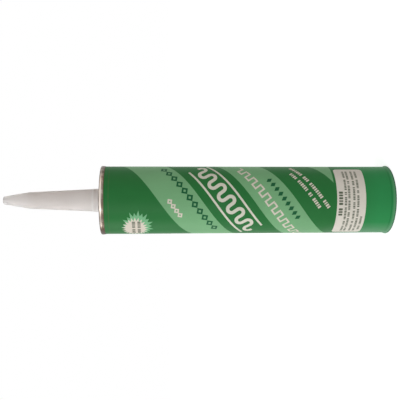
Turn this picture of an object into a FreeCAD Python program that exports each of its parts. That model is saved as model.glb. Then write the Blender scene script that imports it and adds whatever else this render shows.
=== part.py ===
import FreeCAD, Part

import math
import os

# A caulking cartridge for a 10 fl oz gun: a paperboard tube with a printed wrap, a seamed
# tinplate end with a moulded nozzle, the paste inside and the plunger behind it.
# Millimetres and degrees. It stands on its open rear rim at z = 0 and +Z runs to the nozzle tip.
# The front of the label faces -Y, and angles round the label turn from there towards +X.

# Paperboard tube
tube_bore_radius = 23.5
tube_wall = 1.15
cartridge_height = 212.95
flare_height = 3.0
flare_growth = 0.85
tube_flange_growth = 0.22
tube_flange_height = 1.9
tube_flange_slope = 0.6

# Printed wrap
label_thickness = 0.25
ink_depth = 0.12
label_rear_setback = 0.35
label_front_gap = 0.12
lap_angle_width = 11.0
lap_angle = 180.0

# Tinplate end and its double seam
plate = 0.25
seam_height = 3.3
seam_overhang = 0.4
seam_hook_growth = 0.22
seam_air = 0.35
chuck_wall_clearance = 0.075
crest_fillet = 0.85
countersink_depth = 3.55
countersink_width = 2.4
panel_rise = 0.85
boss_rise = 0.85
boss_radius = 12.6
bead_run = 0.9
plate_fillet = 0.5

# Nozzle
nozzle_collar_radius = 8.45
nozzle_collar_height = 7.5
nozzle_collar_step = 0.2
nozzle_collar_fillet = 0.3
nozzle_knee_height = 54.05
nozzle_knee_radius = 6.05
nozzle_length = 72.8
nozzle_tip_radius = 2.77
nozzle_tip_fillet = 0.7
nozzle_wall = 1.3
nozzle_tip_wall = 1.6
nozzle_neck_radius = 8.0
nozzle_hole_clearance = 0.05
nozzle_flange_radius = 12.0
nozzle_flange_thickness = 1.0

# Foil under the nozzle flange
foil_radius = 11.2
foil_thickness = 0.1

# Plunger
plunger_clearance = 0.05
plunger_recess = 8.0
plunger_height = 19.0
plunger_lip_height = 2.6
plunger_relief = 0.5
plunger_wall = 1.3
plunger_face = 1.5
plunger_edge_fillet = 0.4
plunger_floor_fillet = 1.2
plunger_ring_radius = 10.5
plunger_ring_width = 1.4
plunger_ring_height = 0.8
plunger_pip_radius = 1.6
plunger_pip_height = 1.0

# Paste
paste_clearance = 0.05
paste_front_gap = 0.3
paste_rear_gap = 0.3

# Helical stripes: widths and drops are measured along the tube, at the middle of the label's front
stripe_lead = 114.3
stripe_width_along_axis = 30.9
stripe_gap_along_axis = 37.0
first_stripe_drop = 38.1
stripe_end_angle = 160.0
stripe_names = ["stripe_front", "stripe_middle", "stripe_rear"]
longest_edge_angle = 45.0

# Text panel near the rear
panel_low = 22.2
panel_width = 21.1
panel_to_stripes = 1.7
panel_angle_low = -73.0
panel_angle_high = 63.0
panel_corner_radius = 2.7
panel_corner_steps = 5

# Starburst near the seam, a pale one over a light-green one. Both are longer round the tube than
# along it, and their radii are given along it.
burst_spikes = 22
burst_stretch = 1.24
burst_inner_radius = 6.7
burst_outer_radius = 9.4
burst_rise_over_backing = 1.7
burst_angle_from_backing = -5.8
backing_drop = 23.5
backing_angle = -50.0
backing_inner_radius = 8.1
backing_outer_radius = 11.0
backing_spike_spread = 1.4

# Ornament midway between the first two stripes: a winding bead between two rules, along the stripes
ornament_angle = 2.5
ornament_length = 66.0
bead_turns = 12
bead_leg = 3.2
bead_stroke = 2.5
bead_steps_per_turn = 8
rule_offset = 8.3
rule_width = 1.5

# Sizes worked out from the ones above
label_inner_radius = tube_bore_radius + tube_wall
label_radius = label_inner_radius + label_thickness
seam_base = cartridge_height - seam_height
label_top = seam_base - label_front_gap
seam_outer_radius = label_radius + seam_overhang
chuck_inner_radius = tube_bore_radius - chuck_wall_clearance - plate
countersink_base = cartridge_height - countersink_depth
boss_top = countersink_base + plate + panel_rise + boss_rise
hole_radius = nozzle_neck_radius + nozzle_hole_clearance
flange_top = boss_top - plate
flange_base = flange_top - nozzle_flange_thickness
foil_base = flange_base - foil_thickness
plunger_radius = tube_bore_radius - plunger_clearance
plunger_top = plunger_recess + plunger_height
plunger_body_radius = plunger_radius - plunger_relief
cup_radius = plunger_body_radius - plunger_wall
paste_bottom = plunger_top + paste_rear_gap
paste_top = countersink_base - paste_front_gap
stripe_slope = stripe_lead / 360.0
stripe_pitch = stripe_width_along_axis + stripe_gap_along_axis
first_stripe_edge = label_top - first_stripe_drop
panel_high = panel_low + panel_width
stripe_cutoff_height = panel_high + panel_to_stripes
backing_height = label_top - backing_drop
burst_height = backing_height + burst_rise_over_backing
burst_angle = backing_angle + burst_angle_from_backing
backing_turn = -90.0 / burst_spikes
first_gap_middle = first_stripe_edge - stripe_width_along_axis - stripe_gap_along_axis / 2
ornament_height = first_gap_middle + stripe_slope * ornament_angle

Z_AXIS = FreeCAD.Vector(0, 0, 1)
ORIGIN = FreeCAD.Vector(0, 0, 0)


def rounded_path(corners):
    """Closed wire through (radius, height, fillet) corners, with a tangent arc at each fillet."""
    count = len(corners)
    starts = []
    ends = []
    middles = []
    for index, (radius, height, fillet) in enumerate(corners):
        point = FreeCAD.Vector(radius, 0, height)
        if fillet == 0:
            starts.append(point)
            ends.append(point)
            middles.append(None)
            continue
        before = corners[index - 1]
        after = corners[(index + 1) % count]
        back = (FreeCAD.Vector(before[0], 0, before[1]) - point).normalize()
        ahead = (FreeCAD.Vector(after[0], 0, after[1]) - point).normalize()
        half_angle = back.getAngle(ahead) / 2
        inward = (back + ahead).normalize()
        starts.append(point + back * (fillet / math.tan(half_angle)))
        ends.append(point + ahead * (fillet / math.tan(half_angle)))
        middles.append(point + inward * (fillet / math.sin(half_angle) - fillet))
    edges = []
    for index in range(count):
        if middles[index] is not None:
            edges.append(Part.Arc(starts[index], middles[index], ends[index]).toShape())
        edges.append(Part.LineSegment(ends[index], starts[(index + 1) % count]).toShape())
    return Part.Wire(edges)


def sheet_section(corners, thickness):
    """Closed section of a formed sheet, from the (radius, height, fillet) corners of its middle line."""
    half = thickness / 2
    one_side = []
    other_side = []
    for index, (radius, height, fillet) in enumerate(corners):
        point = FreeCAD.Vector(radius, 0, height)
        normals = []
        for start in (index - 1, index):
            if 0 <= start < len(corners) - 1:
                run = corners[start + 1][0] - corners[start][0]
                rise = corners[start + 1][1] - corners[start][1]
                normals.append(FreeCAD.Vector(-rise, 0, run).normalize())
        middle = (normals[0] + normals[-1]).normalize()
        shift = middle * (half / middle.dot(normals[0]))
        turn = normals[0].cross(normals[-1]).y
        # the side that the sheet bends towards has the tighter fillet
        bend = 0 if fillet == 0 else math.copysign(half, turn)
        one_side.append((point.x + shift.x, point.z + shift.z, fillet + bend))
        other_side.append((point.x - shift.x, point.z - shift.z, fillet - bend))
    return rounded_path(one_side + other_side[::-1])


def turned(wire, start_angle=0.0, sweep=360.0):
    """Solid of revolution about Z of a closed section drawn in the XZ plane."""
    solid = Part.Face(wire).revolve(ORIGIN, Z_AXIS, sweep)
    if start_angle:
        solid.rotate(ORIGIN, Z_AXIS, start_angle)
    return solid


def flare_radius(wall_offset, height):
    """Radius of the flared wall, where wall_offset is measured outwards from the bore."""
    bend_radius = (flare_height ** 2 + flare_growth ** 2) / (2 * flare_growth)
    centre = label_radius + bend_radius
    reach = centre - (tube_bore_radius + wall_offset)
    below = flare_height - height
    return centre - math.sqrt(reach ** 2 - below ** 2)


def flare_arc(wall_offset, height):
    """Edge of the flare from the given height up to the straight wall."""
    points = []
    for level in (height, (height + flare_height) / 2, flare_height):
        points.append(FreeCAD.Vector(flare_radius(wall_offset, level), 0, level))
    return Part.Arc(*points).toShape()


def line(*points):
    """Straight edges through (radius, height) points."""
    vectors = [FreeCAD.Vector(radius, 0, height) for radius, height in points]
    return [Part.LineSegment(a, b).toShape() for a, b in zip(vectors, vectors[1:])]


def make_tube():
    """Wound paperboard body with a flared rear rim and a front edge flanged for the seam."""
    top = cartridge_height - plate - seam_air
    flange_radius = label_inner_radius + tube_flange_growth
    flange_base_height = top - tube_flange_height
    edges = [flare_arc(0.0, 0.0), flare_arc(tube_wall, 0.0)]
    edges += line((flare_radius(0.0, 0.0), 0.0), (flare_radius(tube_wall, 0.0), 0.0))
    edges += line(
        (label_inner_radius, flare_height),
        (label_inner_radius, flange_base_height - tube_flange_slope),
        (flange_radius, flange_base_height),
        (flange_radius, top),
        (tube_bore_radius, top),
        (tube_bore_radius, flare_height),
    )
    return turned(Part.Wire(Part.sortEdges(edges)[0]))


def wrap_section(thickness):
    """Closed section of a paper layer that lies on the tube and follows its flare."""
    low = label_rear_setback
    outer = tube_wall + thickness
    edges = [flare_arc(tube_wall, low), flare_arc(outer, low)]
    edges += line((flare_radius(tube_wall, low), low), (flare_radius(outer, low), low))
    edges += line(
        (label_inner_radius, flare_height),
        (label_inner_radius, label_top),
        (label_inner_radius + thickness, label_top),
        (label_inner_radius + thickness, flare_height),
    )
    return Part.Wire(Part.sortEdges(edges)[0])


def subdivided(outline):
    """The closed outline with points added, so that no edge turns far round the cylinder."""
    points = []
    for (angle, height), (next_angle, next_height) in zip(outline, outline[1:] + outline[:1]):
        pieces = max(1, math.ceil(abs(next_angle - angle) / longest_edge_angle))
        for piece in range(pieces):
            share = piece / pieces
            points.append((
                angle + share * (next_angle - angle),
                height + share * (next_height - height),
            ))
    return points


def on_cylinder(radius, outline):
    """Edges and face on a cylinder for an outline of (angle from the front, height) points."""
    surface = Part.Cylinder()
    surface.Radius = radius
    flat = [FreeCAD.Base.Vector2d(math.radians(angle + 180.0), height) for angle, height in outline]
    edges = []
    for start, end in zip(flat, flat[1:] + flat[:1]):
        edges.append(Part.Geom2d.Line2dSegment(start, end).toShape(surface))
    wire = Part.Wire(edges)
    face = Part.Face(surface, wire)
    face.validate()
    return wire, face


def curved_block(outline, inner_radius, outer_radius):
    """Solid between two radii whose outline is drawn on the label."""
    outline = subdivided(outline)
    inner_wire, inner_face = on_cylinder(inner_radius, outline)
    outer_wire, outer_face = on_cylinder(outer_radius, outline)
    faces = [inner_face, outer_face]
    for inner_edge, outer_edge in zip(inner_wire.OrderedEdges, outer_wire.OrderedEdges):
        faces.append(Part.makeRuledSurface(inner_edge, outer_edge))
    shell = Part.makeShell(faces)
    shell.sewShape()
    solid = Part.Solid(shell)
    # the cylinder's own zero angle is at the back of the label, so the outline never crosses it
    solid.rotate(ORIGIN, Z_AXIS, 90.0)
    return solid


def angle_of(distance):
    """Angle round the label for a distance round it."""
    return math.degrees(distance / label_radius)


def along_stripes(centre_angle, centre_height, points):
    """Points given along and across the stripes, as (angle, height) on the label."""
    tilt = math.atan2(stripe_lead, 2 * math.pi * label_radius)
    placed = []
    for along, across in points:
        distance = along * math.cos(tilt) - across * math.sin(tilt)
        rise = along * math.sin(tilt) + across * math.cos(tilt)
        placed.append((centre_angle + angle_of(distance), centre_height + rise))
    return placed


def clipped(outline, level, side):
    """The part of an (angle, height) outline above a level, for side 1, or below it, for side -1."""
    kept = []
    for (angle, height), (next_angle, next_height) in zip(outline, outline[1:] + outline[:1]):
        above = side * (height - level)
        next_above = side * (next_height - level)
        if above >= 0:
            kept.append((angle, height))
        if above * next_above < 0:
            share = above / (above - next_above)
            kept.append((angle + share * (next_angle - angle), level))
    return kept


def stripe_outline(front_edge):
    """Outline of one helical stripe, cut off at the plain rear zone and at the label's top."""
    rise = stripe_slope * stripe_end_angle
    rear_edge = front_edge - stripe_width_along_axis
    outline = [
        (-stripe_end_angle, rear_edge - rise),
        (stripe_end_angle, rear_edge + rise),
        (stripe_end_angle, front_edge + rise),
        (-stripe_end_angle, front_edge - rise),
    ]
    return clipped(clipped(outline, stripe_cutoff_height, 1), label_top, -1)


def panel_outline():
    """Rounded rectangle on the label, with its corners in short steps."""
    corner_angle = angle_of(panel_corner_radius)
    corners = [
        (panel_angle_high, panel_high, 0.0),
        (panel_angle_low, panel_high, 90.0),
        (panel_angle_low, panel_low, 180.0),
        (panel_angle_high, panel_low, 270.0),
    ]
    outline = []
    for angle, height, first in corners:
        side = 1 if angle == panel_angle_high else -1
        end = 1 if height == panel_high else -1
        centre_angle = angle - side * corner_angle
        centre_height = height - end * panel_corner_radius
        for step in range(panel_corner_steps + 1):
            turn = math.radians(first + 90.0 * step / panel_corner_steps)
            outline.append((
                centre_angle + corner_angle * math.cos(turn),
                centre_height + panel_corner_radius * math.sin(turn),
            ))
    return outline


def burst_outline(centre_angle, centre_height, inner_radius, outer_radius, spread, first_turn):
    """Star of thin spikes from a first one on, where every second spike is longer by the spread."""
    outline = []
    for index in range(2 * burst_spikes):
        turn = math.radians(first_turn) + math.pi * index / burst_spikes
        if index % 2:
            reach = inner_radius
        else:
            reach = outer_radius + spread * (-1 if index % 4 else 1) / 2
        outline.append((
            centre_angle + angle_of(burst_stretch * reach * math.cos(turn)),
            centre_height + reach * math.sin(turn),
        ))
    return outline


def bead_outline():
    """Winding stroke of half circles joined by short legs: one side of it, then the other back."""
    turn_radius = ornament_length / bead_turns / 2
    sides = []
    for side in (1, -1):
        edge = side * bead_stroke / 2
        points = [(-ornament_length / 2 - edge, 0.0)]
        for turn in range(bead_turns):
            up = 1 if turn % 2 == 0 else -1
            centre = turn_radius * (2 * turn + 1) - ornament_length / 2
            radius = turn_radius + up * edge
            for step in range(bead_steps_per_turn + 1):
                sweep = math.pi * step / bead_steps_per_turn
                points.append((
                    centre - radius * math.cos(sweep),
                    up * (bead_leg / 2 + radius * math.sin(sweep)),
                ))
        last = -1 if bead_turns % 2 == 0 else 1
        points.append((ornament_length / 2 + last * edge, 0.0))
        sides.append(points)
    points = sides[0] + sides[1][::-1]
    return along_stripes(ornament_angle, ornament_height, points)


def rule_outline(side):
    """Straight rule beside the bead."""
    middle = side * rule_offset
    low = middle - rule_width / 2
    high = middle + rule_width / 2
    half = ornament_length / 2
    points = [(-half, low), (half, low), (half, high), (-half, high)]
    return along_stripes(ornament_angle, ornament_height, points)


def make_print():
    """Ink fields let into the label's face, and the pocket that each of them fills."""
    floor = label_radius - ink_depth
    above = label_radius + ink_depth
    outlines = {}
    for index, name in enumerate(stripe_names):
        outlines[name] = [stripe_outline(first_stripe_edge - index * stripe_pitch)]
    outlines["text_panel"] = [panel_outline()]
    outlines["ornament_bead"] = [bead_outline()]
    outlines["ornament_rules"] = [rule_outline(-1), rule_outline(1)]
    fields = {}
    pockets = []
    for name, shapes in outlines.items():
        solids = [curved_block(shape, floor, label_radius) for shape in shapes]
        fields[name] = Part.makeCompound(solids) if len(solids) > 1 else solids[0]
        pockets += [curved_block(shape, floor, above) for shape in shapes]
    backing = burst_outline(
        backing_angle, backing_height, backing_inner_radius, backing_outer_radius,
        backing_spike_spread, backing_turn)
    burst = burst_outline(burst_angle, burst_height, burst_inner_radius, burst_outer_radius, 0.0, 0.0)
    fields["starburst"] = curved_block(burst, floor, label_radius)
    # the cut for the pale star reaches past the backing's floor, so that it leaves no film
    burst_cutter = curved_block(burst, floor - ink_depth / 2, above)
    fields["starburst_backing"] = curved_block(backing, floor, label_radius).cut(burst_cutter)
    pockets.append(curved_block(backing, floor, above))
    pockets.append(curved_block(burst, floor, above))
    return fields, pockets


def make_label(pockets):
    """Paper wrap with its pockets for the ink and its glued lap, a second thickness down the back."""
    label = turned(wrap_section(label_thickness))
    for pocket in pockets:
        label = label.cut(pocket)
    first_angle = lap_angle - 90.0 - lap_angle_width / 2
    lap = turned(wrap_section(2 * label_thickness), first_angle, lap_angle_width)
    return label.fuse(lap).removeSplitter()


def make_front_end():
    """Tinplate end: nozzle boss, panel, countersink, chuck wall, seam crest and hook."""
    half = plate / 2
    panel_middle = countersink_base + panel_rise + half
    boss_middle = boss_top - half
    groove_middle = countersink_base + half
    chuck_middle = chuck_inner_radius + half
    crest_middle = cartridge_height - half
    outer_middle = seam_outer_radius - half
    panel_edge = chuck_middle - countersink_width
    bulge_height = cartridge_height - seam_height / 2
    corners = [
        (hole_radius, boss_middle, 0),
        (boss_radius, boss_middle, plate_fillet),
        (boss_radius + bead_run, panel_middle, plate_fillet),
        (panel_edge - bead_run, panel_middle, plate_fillet),
        (panel_edge, groove_middle, plate_fillet),
        (chuck_middle, groove_middle, plate_fillet),
        (chuck_middle, crest_middle, plate_fillet),
        (outer_middle, crest_middle, crest_fillet),
        (outer_middle, bulge_height, crest_fillet),
        (outer_middle - seam_hook_growth, seam_base + half, 0),
    ]
    return turned(sheet_section(corners, plate))


def make_nozzle():
    """Hollow moulded nozzle: trapped flange, neck in the plate's hole, collar, two tapers, closed tip."""
    collar_top = boss_top + nozzle_collar_height
    knee = boss_top + nozzle_knee_height
    tip = boss_top + nozzle_length
    foot_radius = nozzle_collar_radius - nozzle_collar_step
    bore_foot = foot_radius - nozzle_wall
    bore_knee = nozzle_knee_radius - nozzle_wall
    bore_tip = nozzle_tip_radius - nozzle_wall
    corners = [
        (bore_foot, flange_base, 0),
        (nozzle_flange_radius, flange_base, 0),
        (nozzle_flange_radius, flange_top, 0),
        (nozzle_neck_radius, flange_top, 0),
        (nozzle_neck_radius, boss_top, 0),
        (nozzle_collar_radius, boss_top, 0),
        (nozzle_collar_radius, collar_top, nozzle_collar_fillet),
        (foot_radius, collar_top + nozzle_collar_step, nozzle_collar_fillet),
        (nozzle_knee_radius, knee, 0),
        (nozzle_tip_radius, tip, nozzle_tip_fillet),
        (0, tip, 0),
        (0, tip - nozzle_tip_wall, 0),
        (bore_tip, tip - nozzle_tip_wall, 0),
        (bore_knee, knee, 0),
        (bore_foot, collar_top, 0),
    ]
    return turned(rounded_path(corners))


def make_pierce_seal():
    """Foil disc glued under the nozzle flange."""
    return Part.makeCylinder(foil_radius, foil_thickness, FreeCAD.Vector(0, 0, foil_base))


def make_sealant():
    """Column of paste between the plunger and the front end."""
    height = paste_top - paste_bottom
    radius = tube_bore_radius - paste_clearance
    return Part.makeCylinder(radius, height, FreeCAD.Vector(0, 0, paste_bottom))


def make_plunger():
    """Moulded cup, open to the rear, with a wiping lip at each end and a ring and a pip inside."""
    bottom = plunger_recess
    top = plunger_top
    cup_floor = top - plunger_face
    ring_inner = plunger_ring_radius - plunger_ring_width / 2
    ring_outer = plunger_ring_radius + plunger_ring_width / 2
    ring_low = cup_floor - plunger_ring_height
    corners = [
        (0, top, 0),
        (plunger_radius, top, plunger_edge_fillet),
        (plunger_radius, top - plunger_lip_height, 0),
        (plunger_body_radius, top - plunger_lip_height - plunger_relief, 0),
        (plunger_body_radius, bottom + plunger_lip_height + plunger_relief, 0),
        (plunger_radius, bottom + plunger_lip_height, 0),
        (plunger_radius, bottom, plunger_edge_fillet),
        (cup_radius, bottom, plunger_edge_fillet),
        (cup_radius, cup_floor, plunger_floor_fillet),
        (ring_outer, cup_floor, 0),
        (ring_outer, ring_low, 0),
        (ring_inner, ring_low, 0),
        (ring_inner, cup_floor, 0),
        (plunger_pip_radius, cup_floor, 0),
        (plunger_pip_radius, cup_floor - plunger_pip_height, 0),
        (0, cup_floor - plunger_pip_height, 0),
    ]
    return turned(rounded_path(corners))


def main():
    """Build every piece and write one file for each."""
    fields, pockets = make_print()
    pieces = {
        "tube": make_tube(),
        "label": make_label(pockets),
        "front_end": make_front_end(),
        "nozzle": make_nozzle(),
        "pierce_seal": make_pierce_seal(),
        "sealant": make_sealant(),
        "plunger": make_plunger(),
    }
    pieces.update(fields)
    os.makedirs("parts", exist_ok=True)
    for name, shape in pieces.items():
        if not shape.isValid():
            raise ValueError(name + " is not a valid solid")
        if shape.ShapeType == "Compound" and len(shape.Solids) == 1:
            shape = shape.Solids[0]
        shape.exportStep("parts/" + name + ".step")
        box = shape.BoundBox
        print(f"{name}: {len(shape.Solids)} solid, {shape.Volume:.1f} mm3, z {box.ZMin:.2f} to {box.ZMax:.2f}")
    print(f"plunger travel up to {paste_top - plunger_top:.2f} mm")


main()
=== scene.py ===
import math

import bmesh
import bpy
from mathutils import Matrix, Vector
from mathutils.geometry import tessellate_polygon


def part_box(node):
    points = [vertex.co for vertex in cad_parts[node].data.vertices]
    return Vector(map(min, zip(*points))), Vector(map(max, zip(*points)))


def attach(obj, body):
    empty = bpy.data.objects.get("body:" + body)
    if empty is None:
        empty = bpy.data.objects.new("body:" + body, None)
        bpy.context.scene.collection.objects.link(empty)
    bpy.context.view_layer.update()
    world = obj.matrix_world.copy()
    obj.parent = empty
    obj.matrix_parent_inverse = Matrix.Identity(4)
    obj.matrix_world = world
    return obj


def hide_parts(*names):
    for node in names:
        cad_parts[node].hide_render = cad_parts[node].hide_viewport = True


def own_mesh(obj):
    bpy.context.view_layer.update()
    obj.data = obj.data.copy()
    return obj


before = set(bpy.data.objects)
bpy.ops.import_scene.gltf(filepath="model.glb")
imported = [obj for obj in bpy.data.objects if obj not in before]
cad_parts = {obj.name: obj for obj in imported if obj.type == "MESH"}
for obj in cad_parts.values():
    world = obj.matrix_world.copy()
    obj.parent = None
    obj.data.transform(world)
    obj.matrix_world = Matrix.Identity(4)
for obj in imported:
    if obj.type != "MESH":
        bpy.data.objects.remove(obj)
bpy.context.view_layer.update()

bl_info = {
    "name": "Sealant Cartridge",
    "version": (1, 0, 0),
    "blender": (4, 5, 0),
    "location": "View3D > Sidebar > Sealant Cartridge",
    "description": "Dresses the packed frame of a caulking gun cartridge with its print and finishes",
    "category": "Add Mesh",
}

# Metres and radians. The cartridge stands on its rear rim at z = 0, and its front faces -Y.
# Angles on the label turn from -Y towards +X.
MM = 0.001
COLUMNS = 240
ARC_STEP = math.radians(11.0)
AXIS_REACH = 1e-7
OUTWARD = Vector((1.0, 0.0))
BURST_SPIKES = 22
BEAD_TURNS = 12
FLOOR_REACH = 12.0


def linear(value):
    """Linear light of one 0 to 255 display value."""
    level = value / 255.0
    return level / 12.92 if level <= 0.04045 else ((level + 0.055) / 1.055) ** 2.4


def length(name, description, millimetres):
    """A size, given in millimetres and kept in metres."""
    return bpy.props.FloatProperty(
        name=name, description=description, default=millimetres * MM, unit="LENGTH")


def turn(name, description, degrees):
    """An angle, given in degrees and kept in radians."""
    return bpy.props.FloatProperty(
        name=name, description=description, default=math.radians(degrees), subtype="ANGLE")


def share(name, description, default):
    """A plain share or strength."""
    return bpy.props.FloatProperty(name=name, description=description, default=default)


def colour(name, description, red, green, blue):
    """A colour, given as 0 to 255 display values."""
    return bpy.props.FloatVectorProperty(
        name=name,
        description=description,
        default=(linear(red), linear(green), linear(blue)),
        min=0.0,
        max=1.0,
        subtype="COLOR",
    )


class TubeSizes(bpy.types.PropertyGroup):
    """Paperboard tube and its printed wrap."""

    bore_radius: length("Bore radius", "Inside radius of the tube", 23.5)
    wall: length("Wall", "Thickness of the paperboard", 1.15)
    flare_height: length("Flare height", "Height of the flared rear rim", 3.0)
    flare_growth: length("Flare growth", "How far the rear rim flares outwards", 0.85)
    flange_growth: length("Flange growth", "How far the front edge swells inside the seam", 0.22)
    flange_low: length("Flange low", "Height where the swollen front edge starts", 210.45)
    flange_slope: length("Flange slope", "Height of the slope below the swollen edge", 0.6)
    label_thickness: length("Label thickness", "Thickness of the paper wrap", 0.25)
    lap_width: turn("Lap width", "Angle that the wrap's glued lap covers at the back", 11.0)
    crease_height: length("Crease height", "Height of the faint crease below the front seam", 206.2)
    crease_depth: length("Crease depth", "Depth of that crease", 0.03)
    crease_width: length("Crease width", "Width of that crease", 1.0)


class PrintSizes(bpy.types.PropertyGroup):
    """Ink on the wrap."""

    film: length("Ink film", "How far an ink film stands above the paper", 0.02)
    lead: length("Stripe lead", "Rise of a stripe in one turn round the tube", 114.3)
    stripe_width: length("Stripe width", "Width of a stripe along the tube", 30.9)
    stripe_pitch: length("Stripe pitch", "Distance from stripe to stripe along the tube", 67.9)
    stripe_end: turn("Stripe end", "Angle at which the stripes stop near the back", 160.0)
    first_edge: length("First stripe edge", "Height of the first stripe's front edge", 171.43)
    cutoff: length("Stripe cutoff", "Height below which there is no stripe", 45.0)
    panel_low: length("Panel low", "Lower edge of the text panel", 22.2)
    panel_high: length("Panel high", "Upper edge of the text panel", 43.3)
    panel_start: turn("Panel start", "Angle where the text panel starts", -73.0)
    panel_end: turn("Panel end", "Angle where the text panel ends", 63.0)
    panel_corner: length("Panel corner", "Corner radius of the text panel", 2.7)
    burst_height: length("Starburst height", "Height of the pale starburst", 187.73)
    burst_angle: turn("Starburst angle", "Angle of the pale starburst", -55.8)
    burst_inner: length("Starburst inner", "Radius between the pale starburst's spikes", 6.7)
    burst_outer: length("Starburst outer", "Radius of the pale starburst's spikes", 9.4)
    burst_stretch: share("Starburst stretch", "Reach round the tube for each unit along it", 1.24)
    backing_height: length("Backing height", "Height of the green starburst behind it", 186.03)
    backing_angle: turn("Backing angle", "Angle of the green starburst behind it", -50.0)
    backing_inner: length("Backing inner", "Radius between the green starburst's spikes", 8.1)
    backing_outer: length("Backing outer", "Mean radius of the green starburst's spikes", 11.0)
    backing_spread: length("Backing spread", "How much longer every second green spike is", 1.4)
    ornament_angle: turn("Ornament angle", "Angle of the ornament's middle", 2.5)
    ornament_height: length("Ornament height", "Height of the ornament's middle", 122.82)
    ornament_length: length("Ornament length", "Length of the ornament along the stripes", 66.0)
    bead_leg: length("Bead leg", "Straight part between two bends of the winding bead", 3.2)
    bead_stroke: length("Bead stroke", "Width of the winding bead's stroke", 2.5)
    rule_offset: length("Rule offset", "From the ornament's middle to each rule", 8.3)
    rule_width: length("Rule width", "Width of each rule", 1.5)


class FrontEndSizes(bpy.types.PropertyGroup):
    """Tinplate end and its double seam."""

    plate: length("Plate", "Thickness of the tinplate", 0.25)
    seam_height: length("Seam height", "Height of the double seam", 3.3)
    seam_radius: length("Seam radius", "Outer radius of the seam", 25.3)
    hook_growth: length("Hook growth", "How far the seam's lower edge tucks in", 0.22)
    crest_fillet: length("Crest fillet", "Rounding of the seam's crest", 0.85)
    chuck_radius: length("Chuck wall radius", "Inner radius of the wall inside the seam", 23.175)
    countersink_depth: length("Countersink depth", "Depth of the groove inside the seam", 3.55)
    countersink_width: length("Countersink width", "Width of that groove", 2.4)
    panel_rise: length("Panel rise", "Rise from the groove to the flat panel", 0.85)
    boss_rise: length("Boss rise", "Rise from the panel to the boss round the nozzle", 0.85)
    boss_radius: length("Boss radius", "Radius of that boss", 12.6)
    bead_run: length("Bead run", "Width of each slope between the levels", 0.9)
    fillet: length("Fillet", "Bend radius of the plate", 0.5)
    hole_radius: length("Hole radius", "Radius of the hole for the nozzle", 8.05)


class NozzleSizes(bpy.types.PropertyGroup):
    """Moulded nozzle."""

    flange_radius: length("Flange radius", "Radius of the flange under the plate", 12.0)
    flange_thickness: length("Flange thickness", "Thickness of that flange", 1.0)
    neck_radius: length("Neck radius", "Radius in the plate's hole", 8.0)
    collar_radius: length("Collar radius", "Radius of the collar", 8.45)
    collar_height: length("Collar height", "Height of the collar", 7.5)
    collar_step: length("Collar step", "Step from the collar to the taper", 0.2)
    collar_fillet: length("Collar fillet", "Rounding of that step", 0.3)
    knee_height: length("Knee height", "Height of the knee above the boss", 54.05)
    knee_radius: length("Knee radius", "Radius at the knee", 6.05)
    tip_radius: length("Tip radius", "Radius at the tip", 2.77)
    tip_fillet: length("Tip fillet", "Rounding of the closed tip", 0.7)
    wall: length("Wall", "Wall of the nozzle", 1.3)
    tip_wall: length("Tip wall", "Thickness of the closed tip", 1.6)


class PlungerSizes(bpy.types.PropertyGroup):
    """Moulded plunger behind the paste."""

    lip_height: length("Lip height", "Height of each wiping lip", 2.6)
    relief: length("Relief", "How far the body stands in from the lips", 0.5)
    wall: length("Wall", "Thickness of the plunger's wall", 1.3)
    face: length("Face", "Thickness of the plunger's face", 1.5)
    edge_fillet: length("Edge fillet", "Rounding of the rims", 0.4)
    floor_fillet: length("Floor fillet", "Rounding inside the cup", 1.2)
    ring_radius: length("Ring radius", "Radius of the ring in the cup", 10.5)
    ring_width: length("Ring width", "Width of that ring", 1.4)
    ring_height: length("Ring height", "Height of that ring", 0.8)
    pip_radius: length("Pip radius", "Radius of the moulding pip", 1.6)
    pip_height: length("Pip height", "Height of the moulding pip", 1.0)


class CartridgeColours(bpy.types.PropertyGroup):
    """Colours as they look in plain white light."""

    dark_green: colour("Dark green", "Ground of the wrap", 40, 113, 56)
    # Painted light: a lighter green for the rear of the wrap, where more light falls.
    rear_painted_light: colour("Rear green", "Thinner ink on the wrap by the rear rim", 47, 142, 80)
    # Painted highlight and sheen on the rear rim and the rear's sides.
    rim_painted_sheen: colour("Rim pale", "Rubbed ink along the flared rear rim", 160, 182, 168)
    rim_edge: colour("Rim edge", "Dark edge of the flared rear rim", 46, 84, 68)
    light_green: colour("Light green", "Stripes and the starburst's edge", 122, 176, 127)
    cream: colour("Cream", "Pale ink", 217, 216, 200)
    panel: colour("Panel", "Pale ground of the text panel", 227, 221, 210)
    print_grey: colour("Print grey", "Small print on the text panel", 92, 100, 82)
    print_green: colour("Print green", "Dark print on the stripes", 24, 92, 54)
    tinplate: colour("Tinplate", "Tinned steel", 206, 194, 184)
    tarnish: colour("Tarnish", "Darker patches on the tinplate", 120, 96, 82)
    # Dirt mixed with painted shade in the seam's lines and on its sides.
    seam_dirt_and_painted_shade: colour("Seam shade", "Dirt and lacquer in the seam's lines", 78, 62, 50)
    # Painted highlight along the seam below its crest.
    seam_painted_highlight: colour("Seam bright", "Metal rubbed bright along the seam", 252, 242, 232)
    nozzle: colour("Nozzle", "Natural plastic of the nozzle", 213, 206, 202)
    # Painted highlights on the collar's rings and painted light at the root; paler plastic at the tip.
    nozzle_pale_and_painted_light: colour("Nozzle pale", "Plastic at the nozzle's tip, root and rings", 232, 231, 229)
    plunger: colour("Plunger", "Natural plastic of the plunger", 214, 212, 204)
    board: colour("Paperboard", "Grey-brown board of the tube", 150, 132, 110)
    foil: colour("Foil", "Pierce seal", 214, 214, 216)
    paste: colour("Paste", "Sealant", 198, 182, 150)


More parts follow.
